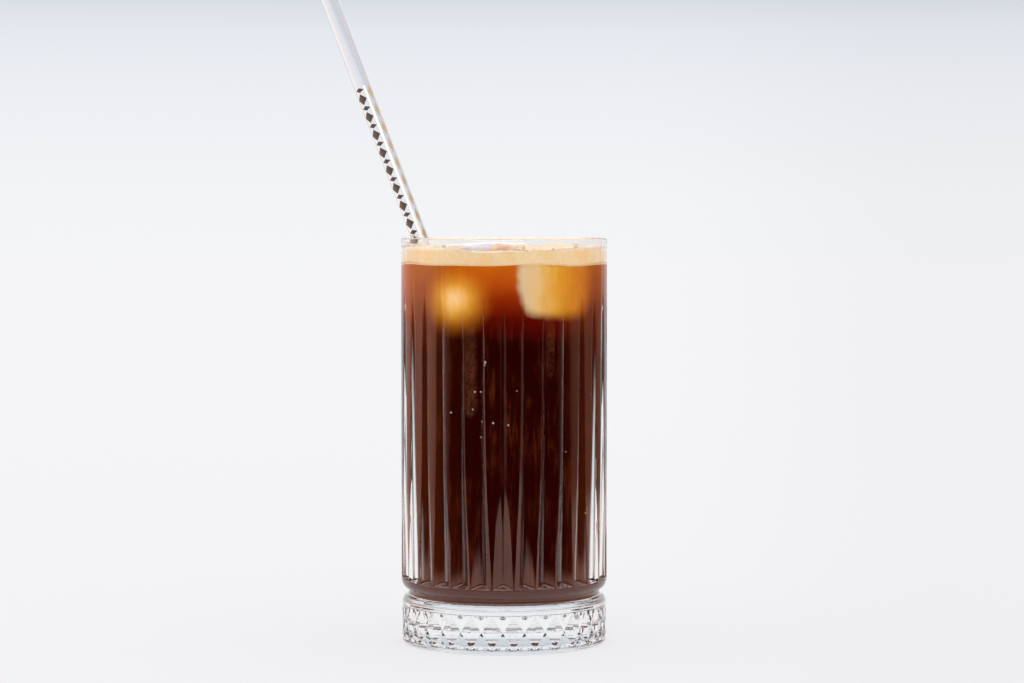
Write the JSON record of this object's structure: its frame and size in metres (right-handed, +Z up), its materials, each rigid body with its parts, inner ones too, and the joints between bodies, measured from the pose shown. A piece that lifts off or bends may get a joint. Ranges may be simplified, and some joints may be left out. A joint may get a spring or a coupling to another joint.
{
  "type": "glass of iced coffee",
  "caption": "Tall fluted tumbler on a diamond-cut foot, filled with iced coffee under a pale crema, with ice and a leaning glass straw.",
  "frame": {"origin": "centre of the flat underside of the glass, where it stands", "axes": "+Z up along the axis of the glass, -Y towards the side that the picture shows, +X to that side's right; the straw leans towards -X"},
  "size_m": [0.1069, 0.073, 0.2429],
  "materials": {
    "clear_glass": "clear pressed glass, polished, faintly green at thick edges",
    "coffee": "dark brown liquid, glossy, amber where light comes through near the top",
    "crema": "pale tan foam with fine bubbles",
    "ice": "wet cloudy ice",
    "straw_glass": "clear glass tube"
  },
  "bodies": {
    "root": {"glass": "clear_glass", "coffee": "coffee", "crema": "crema", "ice_block": "ice", "straw": "straw_glass"}
  },
  "joints": []
}
